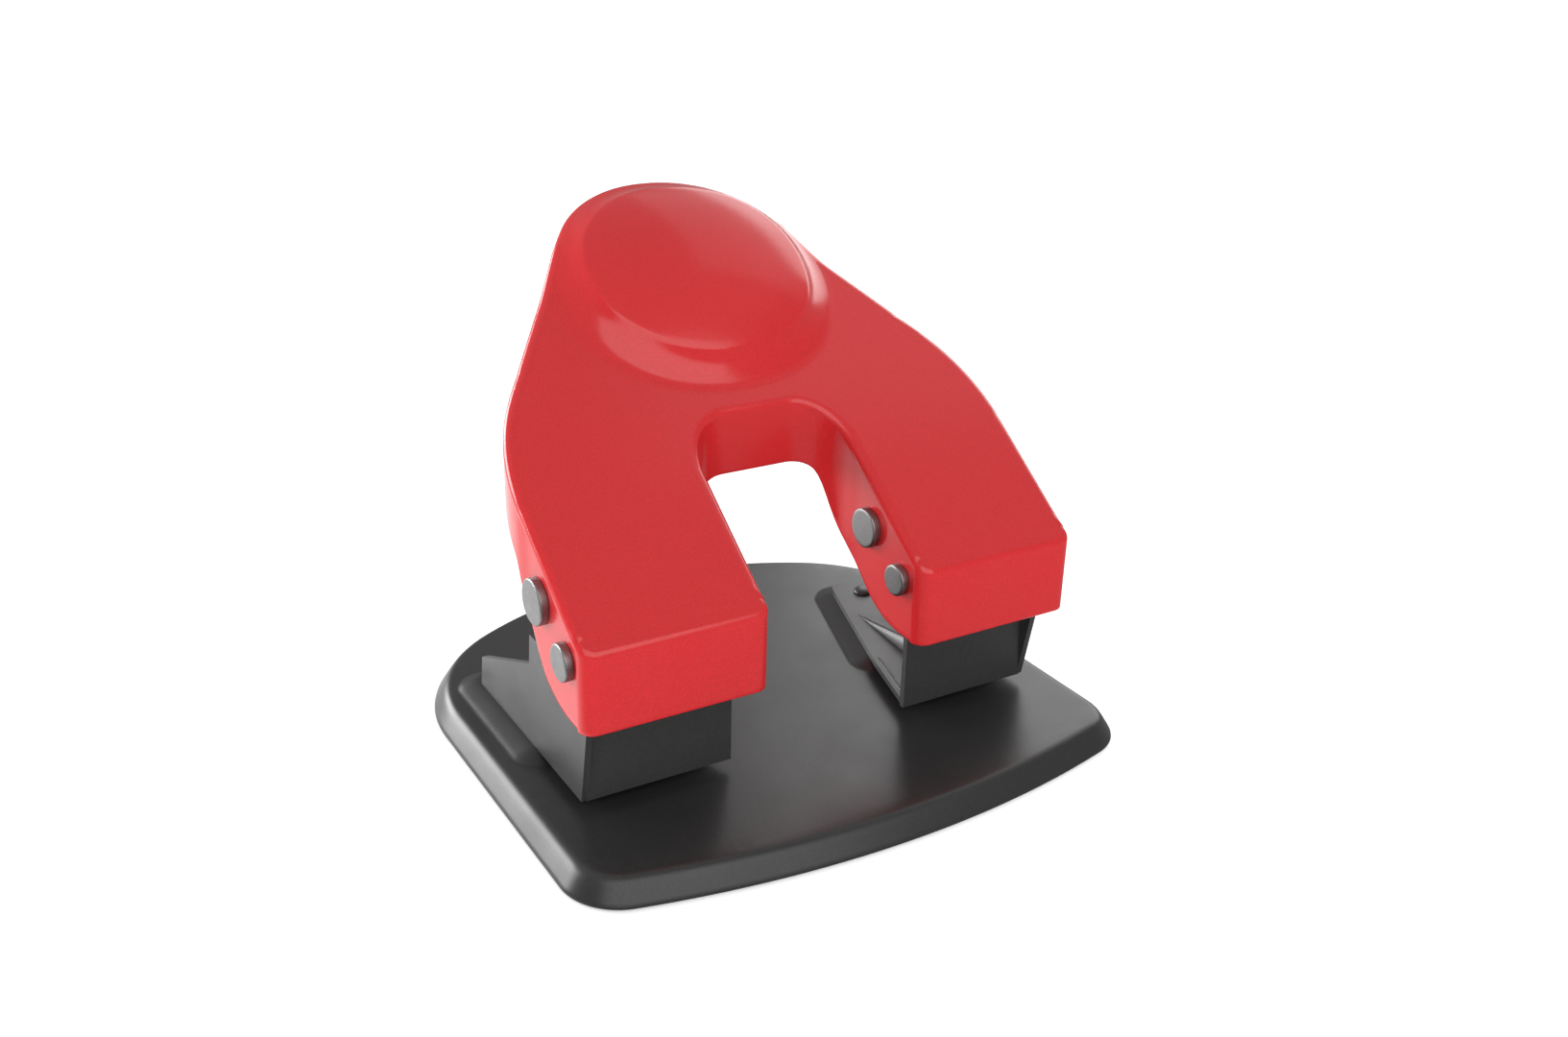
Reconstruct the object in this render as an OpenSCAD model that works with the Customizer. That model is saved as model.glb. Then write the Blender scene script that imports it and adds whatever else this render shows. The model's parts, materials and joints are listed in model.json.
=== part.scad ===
// Two-hole paper punch: pressed steel base, two punch heads and one red handle.
// Origin: floor level, at the middle of the base. +X is to the right, +Y to the rear, +Z up.
// Depths below are measured from the handle's front face, and place() shifts them to the origin.
// The paper goes in from the front (-Y).

/* [Heads] */
// Distance between the centres of the two punched holes
hole_spacing = 80; // [70:1:108]
// Distance of the punch axes behind the handle's front face
punch_y = 22; // [20:0.5:24]
// Diameter of the punched hole
punch_d = 6; // [5:0.1:6.5]
// Stroke of each punch from rest to the bottom of the press
stroke = 5.6; // [4.6:0.1:5.8]

/* [Handle] */
// Width of each handle leg
leg_w = 42.5; // [38:0.1:44]
// Height of the legs' lower edge above the floor
leg_z = 29.2; // [28:0.2:32]
// Height of the top surface above the floor at the legs' front face
top_z = 47.2; // [45:0.2:50]
// Tilt of the handle's top surface
tilt = 35.6; // [30:0.2:40]
// Sheet thickness of the handle
skin = 1.3; // [1:0.1:1.6]
// Depth of the opening between the legs, from the front face
bay_depth = 40.5; // [34:0.5:46]
// Height of the handle's rim around the palm end
rim_h = 15; // [10:0.5:20]
// Radius of the handle's rounded palm end, measured in the tilted surface
palm_r = 32; // [28:0.2:34]
// Distance of the palm end's centre from the front face, along the tilted surface
palm_s = 88; // [82:0.5:92]
// Radius of the palm dome's foot
dome_r = 32.6; // [28:0.2:35]
// Height of the palm dome above the tilted surface
dome_h = 11.6; // [5:0.2:12]
// Distance of the dome's centre from the front face, along the tilted surface
dome_s = 88; // [84:0.5:92]

/* [Pins] */
// Distance of the pivot pin behind the front face
pivot_y = 8.7; // [8:0.1:10]
// Height of the pivot pin above the floor
pivot_z = 42.6; // [41:0.1:44]
// Diameter of the pivot pin
pivot_d = 5; // [4:0.5:6]
// Distance of the drive pin behind the front face
drive_y = 21.4; // [20:0.1:23]
// Height of the drive pin above the floor
drive_z = 50.3; // [49:0.1:52]
// Diameter of the drive pin
drive_d = 6; // [5:0.5:7]
// Diameter of the pivot pin's head and cap
pivot_head = 8; // [7:0.2:9]
// Diameter of the drive pin's head and cap
drive_head = 10; // [8:0.2:11]
// Thickness of the pin heads and caps
head_h = 1.6; // [1.2:0.1:2]

/* [Base] */
// Width of the base at floor level
base_w = 139.6; // [130:0.2:150]
// Height of the rubber feet below the skirt's edge
foot_proud = 0.6; // [0.4:0.1:1.5]
// Height of the base plate's skirt
base_h = 5.6; // [5:0.1:8]
// Sheet thickness of the base
base_t = 1.5; // [1:0.1:2]
// Height of the paper slot between base and bracket
throat = 2.2; // [1.8:0.1:3]
// Distance of the foremost point of the base in front of the handle
nose = 25.9; // [20:0.1:30]
// Distance of the rearmost point of the base behind the handle's front face
tail = 109.6; // [105:0.1:120]

/* [Bracket] */
// Sheet thickness of the punch brackets
plate_t = 1.5; // [1:0.1:2]
// Distance of the bracket's front plate behind the handle's front face
plate_y = 9.5; // [9:0.1:10]
// Distance of the paper stop behind the handle's front face
stop_y = 33; // [31:0.2:34]

/* [Fits] */
// Radial clearance of the running fits
run = 0.05; // [0.02:0.01:0.1]
// Gap between parts that pass each other
gap = 0.3; // [0.2:0.05:0.5]

/* [Hidden] */
$fn = 64;
eps = 0.01;

head_x = hole_spacing / 2;             // centre of each head
leg_out = head_x + leg_w / 2;          // outer face of a leg
leg_in = head_x - leg_w / 2;           // inner face of a leg
rise = tan(tilt);

base_bot = foot_proud;                 // lower edge of the skirt
base_top = foot_proud + base_h;        // upper face of the base
jaw_z = base_top + throat;             // underside of the bracket floor
floor_z = jaw_z + plate_t;             // upper face of the bracket floor

plate_in = head_x - 17.1;              // bracket's inner edge
plate_out = head_x + 18.1;             // bracket's outer face
boss_r = 5;                            // ear around the pivot pin
shoulder_z = 41.5;                     // ear edge that stops the drive pin

bush_d = 9;
bush_top = floor_z + 8;
flange_d = 13;
flange_t = 1.2;
punch_top = drive_z - drive_d / 2 - 0.1;
punch_end = jaw_z + 0.2;
clip_t = 0.8;
clip_d = 10;
clip_z = punch_top - 6;                // lower face of the retaining clip
washer_t = 1.2;
washer_z = clip_z - washer_t;
washer_d = 13;
spring_wire = 1.2;
spring_r = 5.5;                        // mean radius of the return spring
spring_turns = 7;

foot_d = 10;
foot_at = [[46, -8.4], [38, 86]];

tray_front = -3;
tray_rear = 66;
tray_wall = 1.2;
trunnion_d = 2.4;
tray_axis_x = -(base_w / 2 - 6.2);
tray_axis_z = base_bot + 2;
tray_right = base_w / 2 - 5.6;

// ---------- outlines ----------

// Points on an arc round c, from angle a0 to a1
function arc(c, r, a0, a1, n = 10) =
    [for (i = [0:n]) let(a = a0 + (a1 - a0) * i / n) [c[0] + r * cos(a), c[1] + r * sin(a)]];

// Mirrors a half outline (given from rear to front along +X) onto the other side
function both_sides(half) =
    concat(half, [for (i = [len(half) - 1:-1:0]) [-half[i][0], half[i][1]]]);

// Plan outline of the base, inset by g
front_r = 241.5;
rear_r = 97;
front_corner_r = 13.6;
rear_corner_r = 42.5;
function base_half(g) =
    let(side = base_w / 2,
        fc = front_r - nose,                     // centre of the front arc
        rc = tail - rear_r,                      // centre of the rear arc
        r1 = front_corner_r,
        r2 = rear_corner_r,
        c1x = side - r1,
        c1y = fc - sqrt(pow(front_r - r1, 2) - c1x * c1x),
        c2x = side - r2,
        c2y = rc + sqrt(pow(rear_r - r2, 2) - c2x * c2x),
        a1 = atan2(c1y - fc, c1x),
        a2 = atan2(c2y - rc, c2x))
    concat(arc([0, rc], rear_r - g, 90, a2, 12),
           arc([c2x, c2y], r2 - g, a2, 0, 6),
           arc([c1x, c1y], r1 - g, 0, a1, 6),
           arc([0, fc], front_r - g, a1, -90, 7));
function base_outline(g) = both_sides(base_half(g));

// Points on a smooth curve between p0 and p1 that leaves and enters along d0 and d1
function bend(p0, d0, p1, d1, n = 8) =
    [for (i = [1:n - 1]) let(t = i / n, u = 1 - t)
        u * u * (1 + 2 * t) * p0 + t * u * u * d0 + t * t * (3 - 2 * t) * p1 - t * t * u * d1];

// Plan outline of the handle, inset by g
shoulder_r = 37;
shoulder_y = 30;
shoulder_a = 38;                       // where the waist leaves the shoulder
palm_a = 36;                           // where the waist leaves the palm end
waist_pull = 28;
corner_r = 3.3;
bay_r = 10.5;
function handle_half(g) =
    let(rx = palm_r - g,
        ry = palm_r * cos(tilt) - g,
        ey = palm_s * cos(tilt),
        palm = [for (a = [90:-6:palm_a + 1]) [rx * cos(a), ey + ry * sin(a)]],
        p0 = [rx * cos(palm_a), ey + ry * sin(palm_a)],
        d0 = [sin(palm_a), -cos(palm_a) * cos(tilt)] * waist_pull,
        shoulder = arc([leg_out - shoulder_r, shoulder_y], shoulder_r - g, shoulder_a, 0, 8),
        d1 = [sin(shoulder_a), -cos(shoulder_a)] * waist_pull)
    concat(palm, [p0], bend(p0, d0, shoulder[0], d1), shoulder,
           arc([leg_out - corner_r, corner_r], corner_r - g, 0, -90, 6),
           arc([leg_in + corner_r, corner_r], corner_r - g, -90, -180, 6),
           arc([leg_in - bay_r, bay_depth - bay_r], bay_r + g, 0, 90, 10));
function handle_outline(g) = both_sides(handle_half(g));

// Extrudes a (y, z) outline along X from x0 to x1
module along_x(x0, x1) {
    translate([x0, 0, 0]) rotate([90, 0, 90]) linear_extrude(x1 - x0) children();
}

// Cylinder along X from x0 to x1
module pin_x(x0, x1, y, z, d) {
    translate([x0, y, z]) rotate([0, 90, 0]) cylinder(h = x1 - x0, d = d);
}

// Cylinder along Y on the tray's hinge axis
module pin_y(y0, y1, d) {
    translate([tray_axis_x, y0, tray_axis_z]) rotate([-90, 0, 0]) cylinder(h = y1 - y0, d = d);
}

// Draws a right-hand piece on the named side
module on_side(side) {
    if (side == "left") mirror([1, 0, 0]) children();
    else children();
}

// ---------- base ----------

// Section of the skirt: inset and height of each bend
skirt = [[0, 0], [0.2, 0.7], [2.4, base_h - 1.2], [3.2, base_h - 0.3], [4, base_h]];

// Solid under the skirt's surface, inset by g and lowered by d
module base_block(g, d) {
    hull()
        for (l = skirt)
            translate([0, 0, base_bot + l[1] - (l[1] > 0 ? d : 0) - eps])
                linear_extrude(eps) polygon(base_outline(l[0] + g));
}

// Raised platform that carries one bracket; its front edge is the paper stop
module platform(g, d) {
    foot = [[25.2, stop_y - 3.4], [37.8, 71], [42.2, 75.2],
            [58, 75.2], [61.9, 71], [61.9, stop_y - 3.4]];
    crest = [[29.9, stop_y], [41.8, 69], [44, 71],
             [56.2, 71], [57.6, 69], [57.6, stop_y]];
    hull() {
        translate([0, 0, base_top - d - 1]) linear_extrude(1) offset(delta = -g) polygon(foot);
        translate([0, 0, jaw_z - d - eps]) linear_extrude(eps) offset(delta = -g) polygon(crest);
    }
}

rivet_at = [[47.2, 62.7], [46.5, 42]];
rivet_d = 3.2;
die_d = 12;
lug_t = 1.2;
lug_drop = 1.7;                        // depth of a lug below the hinge axis
lug_y = [tray_front - gap - lug_t, tray_rear + gap];

// The plate's outer skin (t = 0) or its hollow underside (t = sheet thickness)
module base_form(t) {
    base_block(t, t);
    for (s = ["left", "right"]) on_side(s) platform(t * 0.9, t);
}

module base_plate() color("#2b2b2c") {
    difference() {
        base_form(0);
        base_form(base_t);
        translate([0, 0, base_bot - 1]) linear_extrude(1.02) polygon(base_outline(base_t));
        for (s = ["left", "right"]) on_side(s) {
            translate([head_x, punch_y, 0]) cylinder(h = 20, d = die_d);
            for (p = rivet_at) translate([p[0], p[1], 0]) cylinder(h = 20, d = rivet_d + 0.1);
        }
    }
    // lugs that carry the tray's hinge
    for (y = lug_y) difference() {
        translate([tray_axis_x - 2, y, tray_axis_z - lug_drop])
            cube([5, lug_t, base_top - base_t - tray_axis_z + lug_drop + 0.1]);
        pin_y(y - 1, y + lug_t + 1, trunnion_d + 2 * run);
    }
}

module foot(x, y) color("#1a1a1a")
    translate([x, y, 0]) union() {
        cylinder(h = 1, d1 = foot_d - 0.6, d2 = foot_d);
        translate([0, 0, 1]) cylinder(h = base_top - base_t - 1, d = foot_d);
    }

// Chip tray: a shallow box hinged on two trunnions along its left edge
module chip_tray() color("#202021") {
    x0 = tray_axis_x;
    w = tray_right - x0;
    l = tray_rear - tray_front;
    z0 = base_bot + 0.2;
    z1 = base_top - base_t - gap;
    reach = gap + lug_t + 0.4;           // length of a trunnion
    difference() {
        union() {
            translate([x0, tray_front, z0]) cube([w, l, z1 - z0]);
            pin_y(tray_front, tray_rear, 2 * (tray_axis_z - z0));
            pin_y(tray_front - reach, tray_rear + reach, trunnion_d);
            // friction bead under the thumb edge
            translate([tray_right - eps, 26, z0 + 2]) cube([0.5, 12, 0.8]);
        }
        translate([x0 + 3.2, tray_front + tray_wall, z0 + 1])
            cube([w - 3.2 - tray_wall, l - 2 * tray_wall, 20]);
        // finger notch
        translate([tray_right + 4, 32, z0 - 1]) cylinder(h = 1.7, r = 9);
    }
}

module die(side) color("#8a8c90") on_side(side) translate([head_x, punch_y, 0]) difference() {
    translate([0, 0, base_top - 2]) cylinder(h = 2, d = die_d);
    cylinder(h = 20, d = punch_d + 2 * run);
    translate([0, 0, base_top - 2 - eps]) cylinder(h = 1, d1 = punch_d + 1, d2 = punch_d + 2 * run);
}

// ---------- punch heads ----------

// Outline of the outer wall, with the ear for the pivot pin
function outer_wall() = concat(
    [[plate_y + 0.3, jaw_z], [66.4, jaw_z], [65, jaw_z + 7.8], [35.7, 28.4], [34.9, 35.8],
     [27.8, 36], [27, shoulder_z], [18, shoulder_z]],
    arc([pivot_y, pivot_z], boss_r, 45, 190, 12),
    [[6.1, 27.9]]);

// Outline of the short inner ear
function inner_ear() = concat(
    [[plate_y, 30.8], [16, 33.6], [25.8, 40.4], [26, shoulder_z], [18, shoulder_z]],
    arc([pivot_y, pivot_z], boss_r, 45, 200, 12));

function floor_outline() = concat(
    [[plate_in, plate_y], [28.2, 29]],
    arc([44.6, 66.4], 3.9, 162, 90, 5),
    [[55.5, 70.3], [plate_out - 1, 66.4], [plate_out - 1, plate_y]]);

module bracket(side) color("#313132") on_side(side) difference() {
    union() {
        translate([0, 0, jaw_z]) linear_extrude(plate_t) polygon(floor_outline());
        along_x(plate_out - plate_t, plate_out) polygon(outer_wall());
        along_x(plate_in, plate_in + plate_t) polygon(inner_ear());
        // front plate, with the strip that joins it to the inner ear
        translate([plate_in, plate_y, jaw_z]) cube([plate_out - plate_in - 1, plate_t, 31.4 - jaw_z]);
        translate([plate_in, plate_y, jaw_z]) cube([4, plate_t, 38 - jaw_z]);
        // lip that stops the handle at rest
        translate([head_x - 9, skin + 0.15, 29.9]) cube([18, plate_y, plate_t]);
        // folded corner between front plate and outer wall
        hull() {
            translate([plate_out - plate_t, plate_y + 0.3, jaw_z]) cube([plate_t, 1, eps]);
            translate([plate_out - 3.2, plate_y + 0.3, 31]) cube([1, 1, eps]);
            translate([plate_out - plate_t, 5.6, 31]) cube([plate_t, 1, eps]);
        }
        // stiffening dart behind the punch
        along_x(head_x - 1.3, head_x + 0.3)
            polygon([[31, floor_z - eps], [52.5, floor_z - eps], [31, floor_z + 3.2]]);
    }
    pin_x(0, 100, pivot_y, pivot_z, pivot_d + 2 * run);
    translate([head_x, punch_y, 0]) cylinder(h = 20, d = bush_d + 0.04);
    for (p = rivet_at) translate([p[0], p[1], 0]) cylinder(h = 20, d = rivet_d + 0.1);
}

module rivets(side) color("#3a3a3b") on_side(side)
    for (p = rivet_at) translate([p[0], p[1], 0]) {
        translate([0, 0, jaw_z - base_t - 0.8]) cylinder(h = 0.8, d = 5.2);
        translate([0, 0, jaw_z - base_t]) cylinder(h = base_t + plate_t, d = rivet_d);
        translate([0, 0, floor_z]) cylinder(h = 0.9, d = 5);
        translate([0, 0, floor_z + 0.9]) cylinder(h = 0.3, d1 = 5, d2 = 4.4);
    }

module guide_bush(side) color("#9a9ca0") on_side(side) translate([head_x, punch_y, 0]) difference() {
    union() {
        translate([0, 0, jaw_z]) cylinder(h = bush_top - jaw_z, d = bush_d);
        translate([0, 0, floor_z]) cylinder(h = flange_t, d = flange_d);
    }
    cylinder(h = 60, d = punch_d + 2 * run);
}

// Punch rod with a clip groove near the top and a hollow-ground cutting end
module punch(side) color("#b4b6ba") on_side(side) translate([head_x, punch_y, 0]) difference() {
    translate([0, 0, punch_end]) cylinder(h = punch_top - punch_end, d = punch_d);
    translate([0, 0, punch_end - eps]) cylinder(h = 1.4, d1 = punch_d - 1.2, d2 = 0.4);
    translate([0, 0, clip_z]) difference() {
        cylinder(h = clip_t, d = clip_d);
        translate([0, 0, -1]) cylinder(h = 3, d = punch_d - 1.2);
    }
}

module spring_washer(side) color("#8e9094") on_side(side)
    translate([head_x, punch_y, washer_z]) difference() {
        cylinder(h = washer_t - 0.02, d = washer_d);
        translate([0, 0, -1]) cylinder(h = 4, d = punch_d + 0.1);
    }

module retaining_clip(side) color("#77797d") on_side(side)
    translate([head_x, punch_y, clip_z + 0.03]) difference() {
        cylinder(h = clip_t - 0.06, d = clip_d);
        translate([0, 0, -1]) cylinder(h = 4, d = punch_d - 1.1);
        translate([-2, 0, -1]) cube([4, 10, 4]);
    }

// Compression spring: a square-section wire wound round the punch, with closed ends
module return_spring(side) color("#a6a8ac") on_side(side) {
    z0 = floor_z + flange_t;
    z1 = washer_z;
    coil_h = z1 - z0 - 2 * spring_wire;
    sweep = 360 * spring_turns * (spring_wire / coil_h);
    translate([head_x, punch_y, z0]) {
        for (z = [0.02, z1 - z0 - spring_wire - 0.02]) translate([0, 0, z]) difference() {
            cylinder(h = spring_wire, r = spring_r + spring_wire / 2, $fn = 24);
            translate([0, 0, -1]) cylinder(h = 4, r = spring_r - spring_wire / 2, $fn = 24);
        }
        translate([0, 0, spring_wire - 0.3])
            linear_extrude(coil_h + 0.6, twist = -360 * spring_turns, slices = 12 * spring_turns,
                           $fn = 8)
                polygon(concat(arc([0, 0], spring_r + spring_wire / 2 - 0.05, 0, sweep, 3),
                               arc([0, 0], spring_r - spring_wire / 2 + 0.05, sweep, 0, 3)));
    }
}

// ---------- handle ----------

// Lower edge of a leg in (y, z), from front to rear, ending on the rim
belly_r = 22;
belly_a = 38;
inner_climb = [[33, 45.2], [35, 49.2], [36.6, 53.8], [37.6, 58]];
inner_end = 38.8;                      // depth at which the inner wall's edge reaches the rim
outer_climb = [[24.5, 40], [28, 46], [30.3, 51]];
outer_end = 31.6;
function rim(y) = [y, top_z - rim_h + rise * y];

function lower_edge(climb, y) = concat(
    [[-5, leg_z]],
    arc([7, leg_z + belly_r], belly_r, -90, -90 + belly_a, 8),
    climb, [rim(y)]);

// Everything between the lower edge and the tilted surface, lowered by d
module side_slab(d, open_bottom = false) {
    far = 130;
    top = [[far, top_z - d + rise * far], [-5, top_z - d - rise * 5]];
    bottom = [[-5, -60], [far, -60]];
    inner = concat(lower_edge(inner_climb, inner_end), [rim(far)]);
    outer = concat(lower_edge(outer_climb, outer_end), [rim(far)]);
    along_x(-head_x, head_x)
        polygon(concat(open_bottom ? bottom : inner, top));
    for (s = ["left", "right"]) on_side(s)
        along_x(head_x - eps, 100)
            polygon(concat(open_bottom ? bottom : outer, top));
}

// Palm dome: a shallow cap with a hollow blend at its foot, drawn down to the surface
module dome(d) {
    blend_r = 3.4;                       // radius of the hollow blend
    crown_r = dome_r - blend_r;
    side_h = 3.6;                        // height of the dome's side
    cap_a = 2 * atan((dome_h - side_h) / crown_r);
    cap_r = crown_r / sin(cap_a);
    at = dome_s * cos(tilt);
    translate([0, at, top_z + at * rise]) rotate([tilt, 0, 0])
        rotate_extrude($fn = 96)
            polygon(concat([[0, -6], [crown_r - d, -6]],
                           [[dome_r - d - 1, -d]],
                           arc([dome_r - d, blend_r - d], blend_r, -100, -165, 5),
                           arc([0, dome_h - cap_r - d], cap_r, 90 - cap_a * 0.95, 90, 10)));
}

module handle_solid(g) {
    intersection() {
        linear_extrude(160) polygon(handle_outline(g));
        union() {
            side_slab(g / cos(tilt), g > 0);
            dome(g);
        }
    }
}

module handle() color("#cf2e30") difference() {
    handle_solid(0);
    handle_solid(skin);
    for (s = ["left", "right"]) on_side(s) {
        pin_x(leg_in - 1, leg_out + 1, pivot_y, pivot_z, pivot_d + 0.04);
        pin_x(leg_in - 1, leg_out + 1, drive_y, drive_z, drive_d + 0.04);
    }
}

// Headed pin through both walls of a leg
module headed_pin(y, z, d, head) {
    pin_x(leg_in - 0.8, leg_out + eps, y, z, d);
    pin_x(leg_out, leg_out + head_h - 0.4, y, z, head);
    translate([leg_out + head_h - 0.4, y, z]) rotate([0, 90, 0])
        cylinder(h = 0.4, d1 = head, d2 = head - 0.8);
}

// Cap pressed on a pin's inner end
module pin_cap(y, z, d, head) difference() {
    union() {
        pin_x(leg_in - head_h + 0.4, leg_in, y, z, head);
        translate([leg_in - head_h, y, z]) rotate([0, 90, 0])
            cylinder(h = 0.4, d1 = head - 0.8, d2 = head);
    }
    pin_x(leg_in - 0.85, leg_in + 1, y, z, d + 0.02);
}

module pivot_pin(side) color("#7d7f83") on_side(side) headed_pin(pivot_y, pivot_z, pivot_d, pivot_head);
module drive_pin(side) color("#7d7f83") on_side(side) headed_pin(drive_y, drive_z, drive_d, drive_head);
module pivot_cap(side) color("#7d7f83") on_side(side) pin_cap(pivot_y, pivot_z, pivot_d, pivot_head);
module drive_cap(side) color("#7d7f83") on_side(side) pin_cap(drive_y, drive_z, drive_d, drive_head);

// Nylon washer between a leg's inner wall and the bracket's inner ear
module pivot_spacer(side) color("#d8d6cc") on_side(side) difference() {
    pin_x(leg_in + skin + 0.05, plate_in - 0.05, pivot_y, pivot_z, 9);
    pin_x(0, 100, pivot_y, pivot_z, pivot_d + 0.04);
}

// Shifts depths measured from the handle's front face to the origin
module place() translate([0, (nose - tail) / 2, 0]) children();

place() base_plate();
place() chip_tray();
place() foot(-foot_at[0][0], foot_at[0][1]);  // foot_front_left
place() foot(foot_at[0][0], foot_at[0][1]);  // foot_front_right
place() foot(-foot_at[1][0], foot_at[1][1]);  // foot_rear_left
place() foot(foot_at[1][0], foot_at[1][1]);  // foot_rear_right
place() die("left");  // die_left
place() die("right");  // die_right
place() bracket("left");  // bracket_left
place() bracket("right");  // bracket_right
place() rivets("left");  // rivets_left
place() rivets("right");  // rivets_right
place() guide_bush("left");  // guide_bush_left
place() guide_bush("right");  // guide_bush_right
place() punch("left");  // punch_left
place() punch("right");  // punch_right
place() spring_washer("left");  // spring_washer_left
place() spring_washer("right");  // spring_washer_right
place() retaining_clip("left");  // retaining_clip_left
place() retaining_clip("right");  // retaining_clip_right
place() return_spring("left");  // return_spring_left
place() return_spring("right");  // return_spring_right
place() handle();
place() pivot_pin("left");  // pivot_pin_left
place() pivot_pin("right");  // pivot_pin_right
place() drive_pin("left");  // drive_pin_left
place() drive_pin("right");  // drive_pin_right
place() pivot_cap("left");  // pivot_cap_left
place() pivot_cap("right");  // pivot_cap_right
place() drive_cap("left");  // drive_cap_left
place() drive_cap("right");  // drive_cap_right
place() pivot_spacer("left");  // pivot_spacer_left
place() pivot_spacer("right");  // pivot_spacer_right
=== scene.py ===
"""Two-hole paper punch: the looks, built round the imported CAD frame.

Shapes are worked out in millimetres, with depths (y) measured from the handle's front face,
as in the CAD source; place() turns them into the frame's metres.
"""
import json
import math

import bmesh
import bpy
import numpy as np
from mathutils import Matrix, Vector
from mathutils.geometry import delaunay_2d_cdt

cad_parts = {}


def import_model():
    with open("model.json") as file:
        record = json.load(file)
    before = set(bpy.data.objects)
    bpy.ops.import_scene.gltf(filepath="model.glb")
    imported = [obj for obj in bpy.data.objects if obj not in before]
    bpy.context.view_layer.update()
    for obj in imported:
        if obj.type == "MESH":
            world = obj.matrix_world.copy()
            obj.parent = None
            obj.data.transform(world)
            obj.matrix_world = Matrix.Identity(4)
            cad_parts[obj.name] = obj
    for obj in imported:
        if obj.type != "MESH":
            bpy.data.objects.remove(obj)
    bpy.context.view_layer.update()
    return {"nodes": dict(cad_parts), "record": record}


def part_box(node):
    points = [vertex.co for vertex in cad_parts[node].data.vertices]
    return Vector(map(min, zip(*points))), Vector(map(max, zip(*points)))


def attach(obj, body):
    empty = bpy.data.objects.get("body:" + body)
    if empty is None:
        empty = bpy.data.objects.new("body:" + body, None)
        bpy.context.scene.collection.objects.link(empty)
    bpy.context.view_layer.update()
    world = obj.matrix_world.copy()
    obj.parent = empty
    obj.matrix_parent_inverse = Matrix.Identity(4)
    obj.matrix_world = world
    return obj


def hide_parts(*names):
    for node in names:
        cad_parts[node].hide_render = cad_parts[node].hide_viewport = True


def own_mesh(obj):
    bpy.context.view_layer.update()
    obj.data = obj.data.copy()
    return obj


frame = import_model()

MM = 0.001
SIDES = {"left": -1, "right": 1}
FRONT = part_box("handle")[0].y / MM              # the handle's front face, in the frame
SLOTS = {part["node"]: part["material_slot"] for part in frame["record"]["subparts"]}
BODIES = frame["record"]["behaviour"]["bodies"]


def span(node):
    """Lowest and highest corner of a CAD node, in this script's millimetres."""
    low, high = (np.array(p) / MM - (0, FRONT, 0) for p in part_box(node))
    return low, high


# ---------- mesh building ----------

def place(points):
    """The frame's metres for this script's millimetres."""
    return (np.asarray(points, float) + (0, FRONT, 0)) * MM


def add_piece(name, bm, nodes, sharp=40.0, weighted=True):
    """Turns a bmesh into a piece that stands for CAD nodes, and rides and is finished as they are."""
    bmesh.ops.recalc_face_normals(bm, faces=bm.faces)
    mesh = bpy.data.meshes.new(name)
    bm.to_mesh(mesh)
    bm.free()
    mesh.shade_smooth()
    mesh.set_sharp_from_angle(angle=math.radians(sharp))
    obj = bpy.data.objects.new(name, mesh)
    bpy.context.scene.collection.objects.link(obj)
    if weighted:
        obj.modifiers.new("flat_faces", "WEIGHTED_NORMAL").keep_sharp = True
    slot = SLOTS[nodes[0]]
    mesh.materials.append(MATERIALS[slot])
    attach(obj, next(b for b, members in BODIES.items() if nodes[0] in members))
    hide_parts(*nodes)
    return obj


def bm_of(points, faces):
    """A bmesh of points in millimetres and faces given by their numbers."""
    bm = bmesh.new()
    verts = [bm.verts.new(p) for p in place(points)]
    for face in faces:
        bm.faces.new([verts[i] for i in face])
    return bm


def bridge(rings, closed=False):
    """Quads between neighbouring rings of the same length, given as numbers or as vertices."""
    faces = []
    pairs = list(zip(rings, rings[1:])) + ([(rings[-1], rings[0])] if closed else [])
    for a, b in pairs:
        for i in range(len(a)):
            j = (i + 1) % len(a)
            faces.append((a[i], a[j], b[j], b[i]))
    return faces


def inside(points, loop):
    """Which 2D points lie inside a closed loop."""
    x, y = points[:, :1], points[:, 1:]
    x0, y0 = loop[:, 0], loop[:, 1]
    x1, y1 = np.roll(x0, -1), np.roll(y0, -1)
    crosses = (y0 > y) != (y1 > y)
    with np.errstate(divide="ignore", invalid="ignore"):
        at = x0 + (y - y0) * (x1 - x0) / (y1 - y0)
    return (crosses & (x < at)).sum(1) % 2 == 1


def far_from(points, loop, gap):
    """Which 2D points are at least gap from a dense loop's points."""
    near, batch = np.empty(len(points)), 2000
    for i in range(0, len(points), batch):
        block = points[i:i + batch, None] - loop[None]
        near[i:i + batch] = np.sqrt((block ** 2).sum(2)).min(1)
    return near > gap


def fill(loops, extra, gap):
    """Triangles between closed 2D loops; those after the first are holes. Extra points go inside.
    Returns all the points, loops first, and the triangles."""
    keep = inside(extra, loops[0]) & far_from(extra, loops[0], gap)
    for hole in loops[1:]:
        keep &= ~inside(extra, hole) & far_from(extra, hole, gap)
    points = np.vstack([*loops, extra[keep]])
    edges, start = [], 0
    for loop in loops:
        n = len(loop)
        edges += [(start + i, start + (i + 1) % n) for i in range(n)]
        start += n
    made, _, faces, origin, _, _ = delaunay_2d_cdt(
        [Vector(p) for p in points], edges, [], 0, 1e-6)
    first = [o[0] for o in origin]
    faces = np.array([[first[i] for i in f] for f in faces])
    middle = points[faces].mean(1)
    good = inside(middle, loops[0])
    for hole in loops[1:]:
        good &= ~inside(middle, hole)
    return points, faces[good]


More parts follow.
